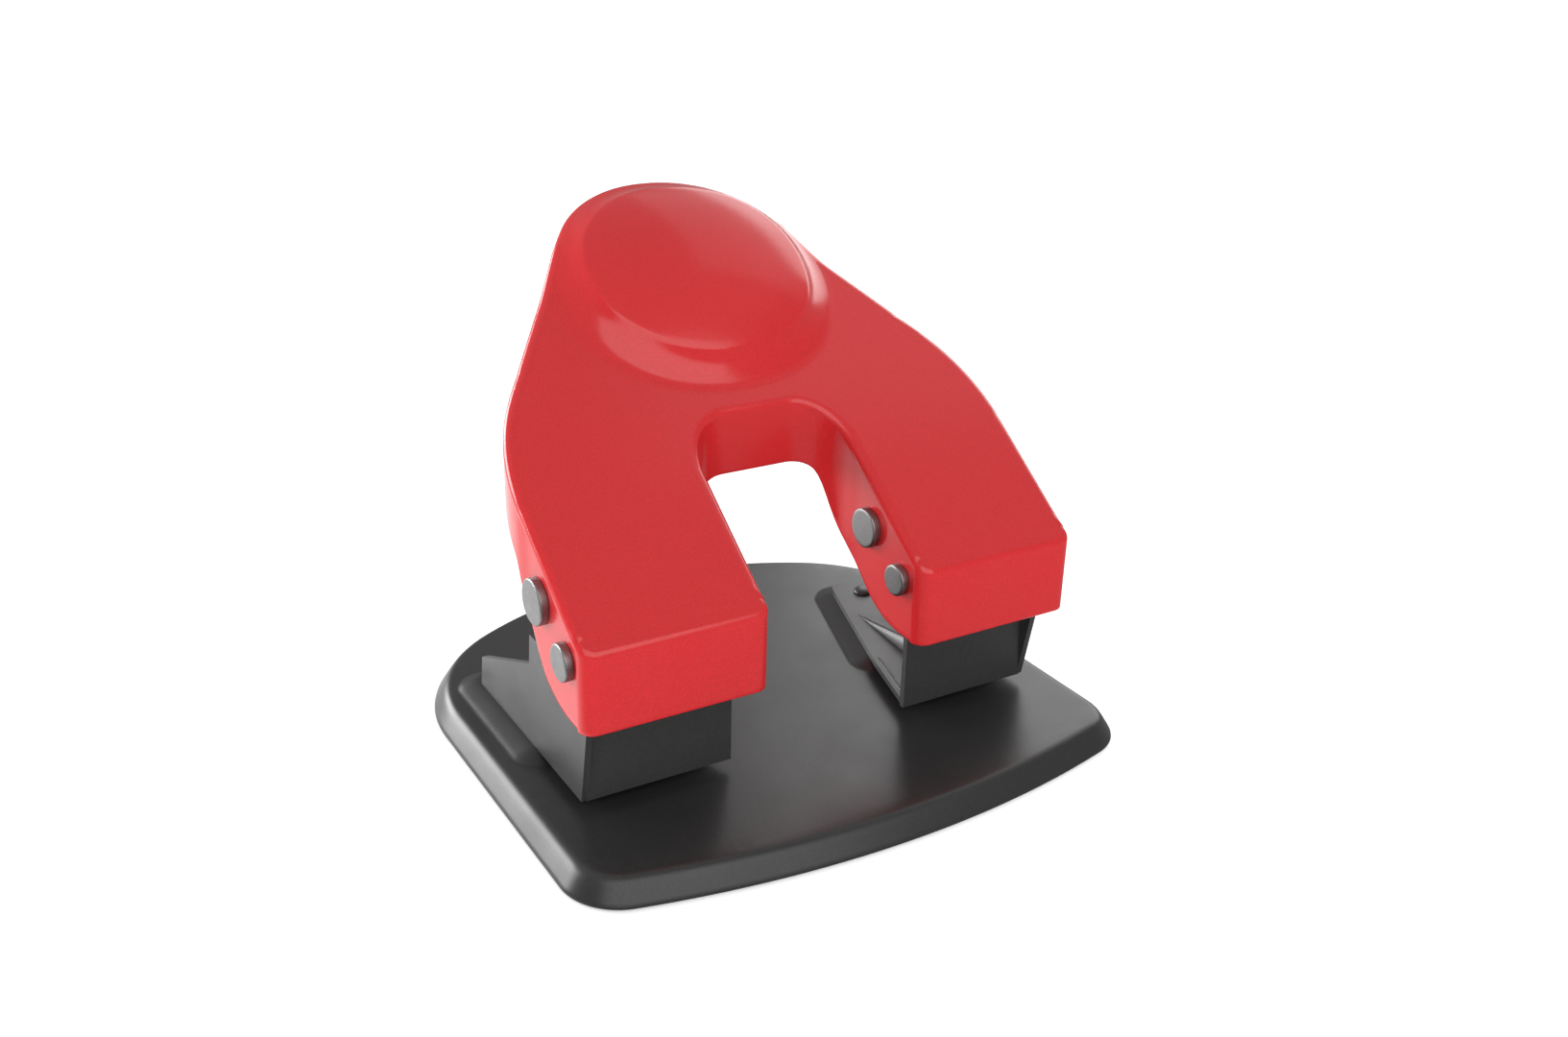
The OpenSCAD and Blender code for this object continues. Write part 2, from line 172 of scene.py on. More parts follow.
def normals_of(loop):
    """Inward unit normals of a closed loop that runs clockwise seen from above."""
    ahead, behind = np.roll(loop, -1, 0) - loop, loop - np.roll(loop, 1, 0)
    t = ahead / np.linalg.norm(ahead, axis=1)[:, None] + behind / np.linalg.norm(behind, axis=1)[:, None]
    t /= np.linalg.norm(t, axis=1)[:, None]
    return np.stack([t[:, 1], -t[:, 0]], 1)


def arc(centre, r, a0, a1, step=1.1):
    """Points of an arc from angle a0 to a1, in degrees."""
    n = max(2, math.ceil(abs(math.radians(a1 - a0)) * r / step), math.ceil(abs(a1 - a0) / 7.5))
    t = np.radians(np.linspace(a0, a1, n + 1))
    return np.stack([centre[0] + r * np.cos(t), centre[1] + r * np.sin(t)], 1)


def curve(p0, d0, p1, d1, n):
    """A smooth (Hermite) curve from p0 to p1 with end directions d0 and d1, without its ends."""
    t = np.linspace(0, 1, n + 2)[1:-1, None]
    p0, d0, p1, d1 = (np.array(v, float) for v in (p0, d0, p1, d1))
    return ((2 * t**3 - 3 * t**2 + 1) * p0 + (t**3 - 2 * t**2 + t) * d0
            + (3 * t**2 - 2 * t**3) * p1 + (t**3 - t**2) * d1)


def divided(loop, step):
    """The closed loop with its long straight lines divided."""
    out = []
    for a, b in zip(loop, np.roll(loop, -1, 0)):
        n = max(1, round(float(np.linalg.norm(b - a)) / step))
        out += [a + (b - a) * i / n for i in range(n)]
    return np.array(out)


def closed_loop(half):
    """A half outline joined to its mirror image."""
    mirrored = half[::-1] * (-1, 1)
    return divided(np.vstack([half[half[:, 0] > 1e-6], mirrored[mirrored[:, 0] < -1e-6]]), 1.6)


# ---------- handle ----------

TILT = math.radians(35.6)
COS, SIN = math.cos(TILT), math.sin(TILT)
TOP_Z = 47.2                                    # top surface at the front face
HEAD_X, PUNCH_Y = 40.0, 22.0
LEG_IN, LEG_OUT = 18.75, 61.25
SKIN = 1.3                                      # the handle's sheet
BAY_DEPTH, BAY_R = 40.5, 10.5                   # the gap between the legs
CORNER_R = 3.3
SHOULDER = ((LEG_OUT - 37, 30.0), 37)           # centre and radius
PALM_R, PALM_Y = 32.0, 88 * COS
PALM_END, SHOULDER_END = 36, 38                 # angles where the waist leaves both arcs
WAIST_PULL = 28
RIM_H = 15.0
EDGE_R, INNER_EDGE_R = 2.3, 0.7                 # rounding of the top edge, outside and inside
LEG_Z, BELLY_R = 29.2, 22.0                     # lowest point of the legs, and their rounding
INNER_EDGE = [(33, 45.2), (35, 49.2), (36.6, 53.8), (37.6, 58), (38.8, 0)]
OUTER_EDGE = [(24.5, 40), (28, 46), (30.3, 51), (31.6, 0)]
PANEL_STEP, PANEL_END = 0.4, 31                 # depth and rear end of the flat the pins sit on
DOME_A, DOME_B = 35.2, 31.7                     # half width and half length of the dome's foot
DOME_S, DOME_P = 87.2, 2.15                     # its centre up the slope, and its squareness
CAP_STEPS = 18                                  # points of the dome's profile up to the cap's edge


def dome_profile():
    """Distance from the axis and height of the dome: cap, rounded side, hollow slope, foot."""
    top, cap_r, crest, side_r, foot_h = 9.6, 84.0, 26.3, 3.0, 0.9
    edge, steep, low = math.asin(crest / cap_r), math.radians(46), math.radians(27)
    a = np.linspace(0, edge, CAP_STEPS)
    r, h = [cap_r * np.sin(a)], [top - cap_r * (1 - np.cos(a))]
    a = np.linspace(edge, steep, 6)[1:]
    r.append(r[0][-1] + side_r * (np.sin(a) - math.sin(edge)))
    h.append(h[0][-1] - side_r * (math.cos(edge) - np.cos(a)))
    slope_r = (h[1][-1] - foot_h) / (math.cos(low) - math.cos(steep))
    a = np.linspace(steep, low, 7)[1:]
    r.append(r[1][-1] + slope_r * (math.sin(steep) - np.sin(a)))
    h.append(foot_h + slope_r * (math.cos(low) - np.cos(a)))
    foot_r = foot_h / (1 - math.cos(low))
    a = np.linspace(low, 0, 6)[1:]
    r.append(r[2][-1] + foot_r * (math.sin(low) - np.sin(a)))
    h.append(foot_r * (1 - np.cos(a)))
    return np.concatenate(r), np.concatenate(h)


DOME_R, DOME_H = dome_profile()


def dome_distance(x, s, power=DOME_P):
    """Distance from the dome's axis at (x, s), measured as if along the wider half."""
    rho = ((np.abs(x) / DOME_A) ** power + (np.abs(s - DOME_S) / DOME_B) ** power) ** (1 / power)
    return rho * DOME_A


def dome_height(x, s):
    """Height of the palm dome over the tilted surface at x and s, the distance up the slope."""
    return np.interp(dome_distance(x, s), DOME_R, DOME_H, right=0.0)


def on_top(x, s, drop):
    """Points of the handle's top surface, lowered by drop along its normal."""
    h = dome_height(x, s) - drop
    return np.stack([x, s * COS - h * SIN, TOP_Z + s * SIN + h * COS], -1)


def slope_at(x, y, drop):
    """Distance up the slope of the top surface over the plan point (x, y)."""
    t = np.linspace(-1.2, 7.5, 110)             # how far the dome's lean can move a point
    s = y[..., None] / COS + t
    f = s * COS - (dome_height(x[..., None], s) - drop) * SIN - y[..., None]
    last = (len(t) - 2) - np.argmax((f[..., :-1] <= 1e-9)[..., ::-1], -1)
    f0 = np.take_along_axis(f, last[..., None], -1)[..., 0]
    f1 = np.take_along_axis(f, last[..., None] + 1, -1)[..., 0]
    part = np.clip(-f0 / np.maximum(f1 - f0, 1e-9), 0, 1)
    return y / COS + t[last] + part * (t[1] - t[0])


def handle_outline():
    """Plan outline of the handle, clockwise from the middle of the palm end."""
    a = np.radians(np.linspace(90, PALM_END, 28))
    palm = np.stack([PALM_R * np.cos(a), PALM_Y + PALM_R * COS * np.sin(a)], 1)
    shoulder = arc(*SHOULDER, SHOULDER_END, 0)
    turn = math.radians(SHOULDER_END)
    leaves = np.array([math.sin(a[-1]), -math.cos(a[-1]) * COS]) * WAIST_PULL
    enters = np.array([math.sin(turn), -math.cos(turn)]) * WAIST_PULL
    waist = curve(palm[-1], leaves, shoulder[0], enters, 17)
    return closed_loop(np.vstack([
        palm, waist, shoulder, [[LEG_OUT, CORNER_R + 0.3]],
        arc((LEG_OUT - CORNER_R, CORNER_R), CORNER_R, 0, -90),
        arc((LEG_IN + CORNER_R, CORNER_R), CORNER_R, -90, -180), [[LEG_IN, CORNER_R + 0.3]],
        arc((LEG_IN - BAY_R, BAY_DEPTH - BAY_R), BAY_R, 0, 90)]))


def lower_edge(x, y):
    """Height of the handle's lower edge over the plan points (x, y): the legs' rounded bellies,
    then a climb, given by its points, to the rim that runs along the slope."""
    def rim(at):
        return (at, TOP_Z - RIM_H + SIN / COS * at)

    heights, around = [], np.linspace(-1.2, 1.2, 9)
    for climb in (INNER_EDGE, OUTER_EDGE):
        line = np.vstack([[[-9, LEG_Z]], arc((7, LEG_Z + BELLY_R), BELLY_R, -90, -52),
                          climb[:-1], [rim(climb[-1][0]), rim(140)]])
        heights.append(np.mean([np.interp(y + d, line[:, 0], line[:, 1]) for d in around], 0))
    return np.where(np.abs(x) > HEAD_X, heights[1], heights[0])


def smoothed(values, n=2):
    """Running mean round a closed loop."""
    total = sum(np.roll(values, i) for i in range(-n, n + 1))
    return total / (2 * n + 1)


def edge_rings(loop, normals, inset, drop, radius, arcs):
    """Rings of the rounded edge between the wall and the top surface: the path of a ball that
    rolls inside the edge. Returns the rings from the wall up, and the last one's (x, s) points."""
    g = np.linspace(0, 2 * radius, 33)
    at = loop[:, None] + normals[:, None] * (inset + g)[None, :, None]
    s = slope_at(at[..., 0], at[..., 1], drop)
    z = on_top(at[..., 0], s, drop)[..., 2]
    centre = z - np.sqrt(np.maximum(radius ** 2 - (g - radius) ** 2, 0))
    best = centre.argmin(1)
    touch = smoothed(g[best])
    z_mid = smoothed(centre.min(1), 1)

    def top_ring(reach):
        p = loop + normals * (inset + reach)[:, None]
        s = slope_at(p[:, 0], p[:, 1], drop)
        return on_top(p[:, 0], s, drop), np.stack([p[:, 0], s], 1)

    end, _ = top_ring(touch)
    stop = np.arctan2(end[:, 2] - z_mid, touch - radius)
    rings = []
    for k in range(arcs):
        angle = math.pi + (stop - math.pi) * k / arcs
        reach = radius + radius * np.cos(angle)
        p = loop + normals * (inset + reach)[:, None]
        rings.append(np.column_stack([p, z_mid + radius * np.sin(angle)]))
    flat, plan = top_ring(touch + 0.35)
    return rings + [end, flat], plan


def top_points():
    """Points that shape the top surface, as (x, s): rings round the dome, and a grid beyond."""
    points = [[[0, DOME_S]]]
    for r in np.concatenate([np.arange(2.5, 27, 2.5), DOME_R[CAP_STEPS - 1:], [DOME_R[-1] + 1]]):
        t = np.linspace(0, 2 * np.pi, 168 if r > 20 else max(12, int(6 * r)), endpoint=False)
        k = r / DOME_A / (np.abs(np.cos(t)) ** DOME_P + np.abs(np.sin(t)) ** DOME_P) ** (1 / DOME_P)
        points.append(np.stack([DOME_A * k * np.cos(t), DOME_S + DOME_B * k * np.sin(t)], 1))
    x, s = np.meshgrid(np.arange(-60, 61, 3.0), np.arange(1, 90, 3.0))
    x = x + 1.5 * (np.arange(len(x)) % 2)[:, None]
    grid = np.stack([x.ravel(), s.ravel()], 1)
    points.append(grid[dome_distance(grid[:, 0], grid[:, 1], 2) > 39])
    return np.vstack(points)


def panel_weight(loop):
    """1 on the legs' side walls, where the pins sit on a shallow flat, and 0 elsewhere."""
    x, y = np.abs(loop[:, 0]), loop[:, 1]
    fade = np.clip((PANEL_END - y) / 5, 0, 1)
    on_side = (y > CORNER_R + 0.15) & ((x > LEG_OUT - 2) | (x < LEG_IN + 0.1))
    return np.where(on_side, fade * fade * (3 - 2 * fade), 0.0)


def handle_rings():
    """Rings of the handle's wall: from the top edge down the outside, round the lower edge and up
    the inside. Also the (x, s) points of the top's outer and inner outlines."""
    loop = handle_outline()
    normals = normals_of(loop)
    low = lower_edge(loop[:, 0], loop[:, 1])
    step = PANEL_STEP * panel_weight(loop)

    def wall(inset, z):
        return np.column_stack([loop + normals * np.asarray(inset)[..., None], z])

    outer, outer_plan = edge_rings(loop, normals, 0.0, 0.0, EDGE_R, 7)
    inner, inner_plan = edge_rings(loop, normals, SKIN, SKIN, INNER_EDGE_R, 3)
    line = outer[0][:, 2] - 0.6                 # where the pins' flat starts, under the edge
    none = np.zeros(len(loop))
    rings = outer[::-1]
    rings += [wall(none, line), wall(step * 0.35, line - 0.08), wall(step, line - 0.28),
              wall(step, line - 0.6)]
    rings += [wall(step, low + 0.5 + (line - 1.1 - low) * k) for k in (0.75, 0.5, 0.25, 0.05)]
    for inset, lift in ((0, 0.42), (0.1, 0.16), (0.36, 0), (0.9, 0), (1.2, 0.12), (SKIN, 0.4)):
        rings.append(wall(step * (inset < 0.5) + inset, low + lift))        # round the lower edge
    rings += [wall(none + SKIN, low + 0.5 + (inner[0][:, 2] - 0.5 - low) * k)
              for k in (0.1, 0.4, 0.7, 0.97)]
    return rings + inner, outer_plan, inner_plan


def handle():
    """The pressed handle: its wall, and the domed top's outer and inner surface."""
    rings, outer_plan, inner_plan = handle_rings()
    size = len(outer_plan)
    points = [np.vstack(rings)]
    index = [np.arange(i * size, (i + 1) * size) for i in range(len(rings))]
    faces = bridge(index)
    for plan, ring, drop in ((outer_plan, index[0], 0.0), (inner_plan, index[-1], SKIN)):
        flat, triangles = fill([plan], top_points(), 0.45)
        start = sum(len(p) for p in points)
        points.append(on_top(flat[size:, 0], flat[size:, 1], drop))
        number = np.concatenate([ring, start + np.arange(len(flat) - size)])
        faces += [tuple(number[t]) for t in triangles]
    add_piece("handle_shell", bm_of(np.vstack(points), faces), ["handle"], weighted=False)


# ---------- base ----------

BASE_BOT, BASE_TOP, BASE_T = 0.6, 6.2, 1.5
JAW_Z, FLOOR_Z = 8.4, 9.9                       # platform tops, and the brackets' floors
DIE_HOLE_R, DIE_HOLE_STEPS = 6.05, 48
# the skirt's section, from the ground up: (inset, height)
SKIRT = [(0.34, 0.06), (0.1, 0.16), (0, 0.42), (0.1, 0.8), (0.5, 1.45), (1.1, 2.36), (1.7, 3.28),
         (2.2, 4.02), (2.6, 4.55), (3.05, 5.0), (3.55, 5.34), (4.1, 5.53), (4.7, 5.6)]
CREST = [(30.2, 33.6), (42.0, 68.8), (44.2, 70.8), (56.6, 70.8), (58.4, 68.8), (58.4, 33.6)]
CREST_SIDE, CREST_CORE = 5.0, 2.0               # width of the sloping side, and its corners' radius
CREST_ROWS = (-2.0, -0.3, 0.0, 0.3, 0.7, 1.2, 1.7, 2.2, 2.7, 3.2, 3.7, 4.2, 4.7, 5.0, 5.4)
LUG_Y = ((-4.5, -3.3), (66.3, 67.5))
LUG_X, LUG_Z, LUG_R = (-65.6, -60.6), (0.9, 4.75), 1.4


def base_outline():
    """Plan outline of the base plate: wide front and rear arcs, rounded corners."""
    front_r, rear_r, r1, r2 = 241.5, 97.0, 13.6, 42.5
    nose, tail, side = 25.9, 109.6, 69.8
    front_c, rear_c = front_r - nose, tail - rear_r
    y1 = front_c - math.sqrt((front_r - r1) ** 2 - (side - r1) ** 2)
    y2 = rear_c + math.sqrt((rear_r - r2) ** 2 - (side - r2) ** 2)
    a1 = math.degrees(math.atan2(y1 - front_c, side - r1))
    a2 = math.degrees(math.atan2(y2 - rear_c, side - r2))
    return closed_loop(np.vstack([
        arc((0, rear_c), rear_r, 90, a2, 1.6), arc((side - r2, y2), r2, a2, 0)[1:],
        arc((side - r1, y1), r1, 0, a1, 0.9), arc((0, front_c), front_r, a1, -90, 1.6)[1:]]))


def distance_outside(points, polygon):
    """Signed distance from 2D points to a polygon: negative inside."""
    p = np.asarray(polygon, float)
    a, b = p, np.roll(p, -1, 0)
    t = ((points[:, None] - a) * (b - a)).sum(2) / ((b - a) ** 2).sum(1)
    near = a + np.clip(t, 0, 1)[..., None] * (b - a)
    d = np.sqrt(((points[:, None] - near) ** 2).sum(2)).min(1)
    return np.where(inside(points, p), -d, d)


def platform_height(x, y):
    """Height of the two bracket platforms over the base's flat top: flat, then an almost
    straight side that eases out at its foot."""
    at = np.stack([np.abs(x), y], 1)
    outside = distance_outside(at, CREST)
    inner = distance_outside(at, shrunk(CREST, CREST_CORE)) - CREST_CORE
    t = np.clip(1 - np.maximum(inner, 0) / CREST_SIDE, 0, 1)
    t = np.where(outside > CREST_SIDE, 0, t)
    shoulder, foot = 1 - (1 - t) ** 1.2, np.clip(t / 0.25, 0, 1)
    return (JAW_Z - BASE_TOP) * shoulder * foot * (2 - foot)


def shrunk(polygon, d):
    """The polygon with its sides moved inwards by d."""
    p = np.asarray(polygon, float)
    if ((np.roll(p, -1, 0) - p)[:, 0] * (np.roll(p, -1, 0) + p)[:, 1]).sum() < 0:
        p = p[::-1]
    t0 = p - np.roll(p, 1, 0)
    t1 = np.roll(p, -1, 0) - p
    n0, n1 = (np.stack([t[:, 1], -t[:, 0]], 1) / np.linalg.norm(t, axis=1)[:, None] for t in (t0, t1))
    return p + (n0 + n1) * (d / (1 + (n0 * n1).sum(1)))[:, None]


def grown(polygon, r):
    """The polygon with its sides moved outwards by r and its corners rounded with it."""
    ring = []
    for a, b, c in zip(np.roll(polygon, 1, 0), polygon, np.roll(polygon, -1, 0)):
        a0 = math.degrees(math.atan2(*(a - b)[::-1])) - 90
        a1 = math.degrees(math.atan2(*(b - c)[::-1])) - 90
        turn = (a1 - a0 + 180) % 360 - 180
        ring.append(arc(b, r, a0, a0 + turn, 0.8) if r > 0.05 else [b])
    return divided(np.vstack(ring), 1.3)


def base_points():
    """Points that shape the base's top: rows across both platforms' sides, and a coarse grid."""
    x, y = np.meshgrid(np.arange(-68, 69, 4.0), np.arange(-22, 108, 4.0))
    grid = np.stack([x.ravel(), y.ravel()], 1)
    near = distance_outside(np.abs(grid) * (1, 0) + grid * (0, 1), CREST)
    points = [grid[(near > 6) | (near < -3.5)]]
    core = shrunk(CREST, CREST_CORE)
    for side in (1, -1):
        for out in CREST_ROWS:
            points.append(grown(core, out + CREST_CORE) * (side, 1))
    return np.vstack(points)


def base_plate():
    """The pressed plate: skirt, top with two raised platforms, die holes, hollow underside."""
    t = np.linspace(0, -2 * np.pi, DIE_HOLE_STEPS, endpoint=False)
    holes = [np.stack([side * HEAD_X + DIE_HOLE_R * np.cos(t), PUNCH_Y + DIE_HOLE_R * np.sin(t)], 1)
             for side in (-1, 1)]
    loop = base_outline()
    normals, size = normals_of(loop), len(loop)
    top, under = (SKIRT[-1][0], BASE_TOP), (SKIRT[-1][0] + 1.2, BASE_TOP - BASE_T)
    lip = [(0.75, 0.0), (1.15, 0.06)] + [(i + 1.4, h - 0.35) for i, h in SKIRT[4:9]]
    section = [(i, BASE_BOT + h) for i, h in SKIRT[::-1] + lip] + [under]
    points = [np.column_stack([loop + normals * i, np.full(size, z)]) for i, z in section]
    index = [np.arange(i * size, (i + 1) * size) for i in range(len(section))]
    faces, rims, start = bridge(index), [], len(section) * size
    for edge, (inset, z) in ((index[0], top), (index[-1], under)):
        flat, triangles = fill([loop + normals * inset] + holes, base_points(), 0.25)
        rest = flat[size:]
        points.append(np.column_stack([rest, z + platform_height(rest[:, 0], rest[:, 1])]))
        number = np.concatenate([edge, start + np.arange(len(rest))])
        faces += [tuple(number[f]) for f in triangles]
        rims.append(start + np.arange(len(holes) * DIE_HOLE_STEPS).reshape(len(holes), -1))
        start += len(rest)
    for above, below in zip(*rims):
        faces += bridge([above, below])
    add_piece("base_shell", bm_of(np.vstack(points), faces), ["base_plate"], weighted=False)


def hinge_lugs():
    """The two lugs under the plate's left edge that carry the tray's hinge."""
    bm = bmesh.new()
    (x0, x1), (z0, z1) = LUG_X, LUG_Z
    outline = softened([(x0, z1), (x1, z1), (x1, z0), (x0, z0)], LUG_R)
    middle = outline.mean(0)
    for y0, y1 in LUG_Y:
        rings = []
        for y, size in ((y0, 0.94), (y0 + 0.15, 1), (y1 - 0.15, 1), (y1, 0.94)):
            flat = middle + (outline - middle) * size
            ring = np.column_stack([flat[:, 0], np.full(len(flat), y), flat[:, 1]])
            rings.append([bm.verts.new(p) for p in place(ring)])
        for face in bridge(rings):
            bm.faces.new(face)
        bm.faces.new(rings[0])
        bm.faces.new(rings[-1][::-1])
    add_piece("hinge_lugs", bm, ["base_plate"])


# ---------- turned parts ----------

def softened(profile, r, closed=True):
    """Rounds the corners of a profile polyline with small curves."""
    p = np.asarray(profile, float)
    out = []
    for i, b in enumerate(p):
        if not closed and i in (0, len(p) - 1):
            out.append(b)
            continue
        a, c = p[i - 1], p[(i + 1) % len(p)]
        la, lc = np.linalg.norm(a - b), np.linalg.norm(c - b)
        cut = min(r, 0.45 * la, 0.45 * lc)
        start, end = b + (a - b) / la * cut, b + (c - b) / lc * cut
        for t in (0, 0.33, 0.67, 1):
            out.append((1 - t) ** 2 * start + 2 * t * (1 - t) * b + t * t * end)
    return np.array(out)


def turned(bm, profile, centre, axis, closed):
    """Adds a lathed solid to a bmesh: profile as (distance along the axis, radius). A closed
    profile makes a ring; an open one starts and ends on the axis."""
    steps = 48
    t = np.linspace(0, 2 * np.pi, steps, endpoint=False)
    rings = []
    for along, r in profile:
        u, v, w = r * np.cos(t), r * np.sin(t), np.full(steps, along)
        local = np.stack([u, v, w] if axis == "z" else [w, u, v], 1)
        rings.append([bm.verts.new(p) for p in place(local + np.array(centre))])
    for face in bridge(rings, closed):
        bm.faces.new(face)
    if not closed:
        bm.faces.new(rings[0])
        bm.faces.new(rings[-1])


def lathe(name, node, parts):
    """A piece made of turned parts: (profile, centre, axis, closed) each."""
    bm = bmesh.new()
    for part in parts:
        turned(bm, *part)
    add_piece(name, bm, [node])


AXIS = 0.001                                    # radius of a profile's points on its axis
PINS = {"pivot": (8.7, 42.6, 2.5, 4.0), "drive": (21.4, 50.3, 3.0, 5.0)}    # y, z, radii
HEAD_H = 1.6


def headed(top, out, r):
    """The rim of a pin's or a cap's head, whose flat end is at top and faces out (1 or -1)."""
    return [(top - 0.35 * out, r), (top - 0.12 * out, r - 0.22), (top - 0.04 * out, r - 0.62),
            (top, AXIS)]


def pins(side, sign):
    """Both pins of a leg: each with a head outside and a cap on its inner end."""
    seat, tip = LEG_OUT - PANEL_STEP, LEG_IN - 0.75
    cap_seat, cap_top = LEG_IN + PANEL_STEP, LEG_IN - HEAD_H
    for kind, (y, z, r, head) in PINS.items():
        cap_r = head - 0.4
        pin = [(tip, AXIS), (tip, r), (seat, r), (seat, head)] + headed(LEG_OUT + HEAD_H, 1, head)
        cap = [(cap_seat, r + 0.01), (cap_seat, cap_r)] + headed(cap_top, -1, cap_r)
        cap += [(cap_top + 0.6, AXIS), (cap_top + 0.6, r + 0.01)]
        for part, profile, closed in (("pin", pin, False), ("cap", cap, True)):
            name = f"{kind}_{part}_{side}"
            shape = softened(profile, 0.22, closed) * (sign, 1)
            lathe(name + "_turned", name, [(shape, (0, y, z), "x", closed)])


def pivot_spacer(side, sign):
    """The nylon ring on the pivot pin, between the leg's inner wall and the bracket's ear."""
    y, z, r, _ = PINS["pivot"]
    bracket_ear = HEAD_X - 17.15
    start, end, bore, outer = LEG_IN + SKIN + 0.05, bracket_ear, r + 0.02, 4.5
    ring = [(start, bore), (end, bore), (end, outer), (start, outer)]
    lathe(f"pivot_spacer_{side}_turned", f"pivot_spacer_{side}",
          [(softened(ring, 0.3) * (sign, 1), (0, y, z), "x", True)])


PUNCH_R, BORE_R = 3.0, 3.05
FLANGE = 1.2                                    # thickness of the guide bush's flange
RIVETS = ((47.2, 62.7), (46.5, 42))


def box_z(node):
    """Lowest and highest z of a CAD node."""
    low, high = span(node)
    return low[2], high[2]


def punch_rod(side, at):
    """The punch: hollow-ground cutting end, groove for the clip, rounded top."""
    z0, z1 = box_z(f"punch_{side}")
    clip0, clip1 = box_z(f"retaining_clip_{side}")
    play, groove = 0.03, 2.4
    rod = [(z0 + 1.3, AXIS), (z0, 2.38), (z0, PUNCH_R),
           (clip0 - play, PUNCH_R), (clip0 - play, groove),
           (clip1 + play, groove), (clip1 + play, PUNCH_R),
           (z1 - 0.3, PUNCH_R), (z1, 2.6), (z1, AXIS)]
    lathe(f"punch_{side}_turned", f"punch_{side}", [(softened(rod, 0.12, False), at, "z", False)])


def punch_rings(side, at):
    """The spring's washer, the die and the flanged guide bush."""
    for kind, (outer, edge) in {"spring_washer": (6.5, 0.25), "die": (6.0, 0.2)}.items():
        node = f"{kind}_{side}"
        z0, z1 = box_z(node)
        ring = [(z0, BORE_R), (z1, BORE_R), (z1, outer), (z0, outer)]
        lathe(node + "_turned", node, [(softened(ring, edge), at, "z", True)])
    z0, z1 = box_z(f"guide_bush_{side}")
    body, flange = 4.5, 6.5
    bush = [(z0, BORE_R), (z1, BORE_R), (z1, body), (FLOOR_Z + FLANGE, body),
            (FLOOR_Z + FLANGE, flange), (FLOOR_Z, flange), (FLOOR_Z, body), (z0, body)]
    lathe(f"guide_bush_{side}_turned", f"guide_bush_{side}", [(softened(bush, 0.25), at, "z", True)])


def rivets(side, sign):
    """The bracket's two rivets: a flat head under the base and a domed one on the floor."""
    under, top, shank = JAW_Z - BASE_T, FLOOR_Z + 1.2, 1.6
    heads = [(under - 0.8, AXIS), (under - 0.8, 2.4), (under - 0.5, 2.6), (under, 2.6),
             (under, shank), (FLOOR_Z, shank), (FLOOR_Z, 2.5), (FLOOR_Z + 0.5, 2.42),
             (FLOOR_Z + 0.95, 2.0), (top, 1.1), (top, AXIS)]
    lathe(f"rivets_{side}_formed", f"rivets_{side}",
          [(softened(heads, 0.3, False), (sign * x, y, 0), "z", False) for x, y in RIVETS])


def feet():
    """Round rubber pads with a soft lower edge."""
    for node in (n for n in SLOTS if n.startswith("foot_")):
        low, high = span(node)
        x, y = (low + high)[:2] / 2
        r = (high - low)[0] / 2
        pad = [(0, AXIS), (0, r - 1.4), (0.35, r - 0.5), (1.0, r), (high[2], r), (high[2], AXIS)]
        lathe(node + "_moulded", node, [(softened(pad, 0.3, False), (x, y, 0), "z", False)])


def spring(side, sign):
    """Round wire wound round the punch; its end turns lie flat on the bush and the washer."""
    wire, radius, turns, per_turn, sides = 1.2, 5.5, 7, 44, 10
    top = box_z(f"spring_washer_{side}")[0]
    z0 = FLOOR_Z + FLANGE + wire / 2
    z1 = top - wire / 2
    total = turns + 2
    k = np.linspace(0, total, total * per_turn + 1)
    rise = np.clip((k - 1) / turns, 0, 1)
    z = z0 + (z1 - z0) * rise
    a = 2 * np.pi * k
    centre = np.stack([sign * HEAD_X + radius * np.cos(a), PUNCH_Y + radius * np.sin(a), z], 1)
    out = np.stack([np.cos(a), np.sin(a), 0 * a], 1)
    t = 2 * np.pi * np.arange(sides) / sides
    rings = (centre[:, None] + out[:, None] * (wire / 2 * np.cos(t))[None, :, None]
             + np.array([0, 0, 1]) * (wire / 2 * np.sin(t))[None, :, None])
    index = [np.arange(i * sides, (i + 1) * sides) for i in range(len(centre))]
    faces = bridge(index) + [tuple(index[0]), tuple(index[-1][::-1])]
    node = f"return_spring_{side}"
    piece = add_piece(node + "_wire", bm_of(rings.reshape(-1, 3), faces), [node], weighted=False)
    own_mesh(piece)


# ---------- bent and moulded parts ----------

def half_round(name, node, path, widths, heights):
    """A raised rib along a path of floor points, with a half-round section."""
    under = FLOOR_Z - 0.4
    path = np.asarray(path, float)
    along = np.gradient(path, axis=0)
    across = np.stack([-along[:, 1], along[:, 0]], 1) / np.linalg.norm(along, axis=1)[:, None]
    t = np.linspace(0, np.pi, 11)
    rings = []
    for p, q, w, h in zip(path, across, widths, heights):
        ring = [[*(p - q * w / 2), under]]
        ring += [[*(p - q * w / 2 * np.cos(a)), FLOOR_Z + h * np.sin(a) ** 1.2] for a in t]
        ring.append([*(p + q * w / 2), under])
        rings.append(ring)
    rings = np.array(rings)
    size = rings.shape[1]
    index = [np.arange(i * size, (i + 1) * size) for i in range(len(rings))]
    faces = bridge(index) + [tuple(index[0]), tuple(index[-1][::-1])]
    add_piece(name, bm_of(rings.reshape(-1, 3), faces), [node], weighted=False)


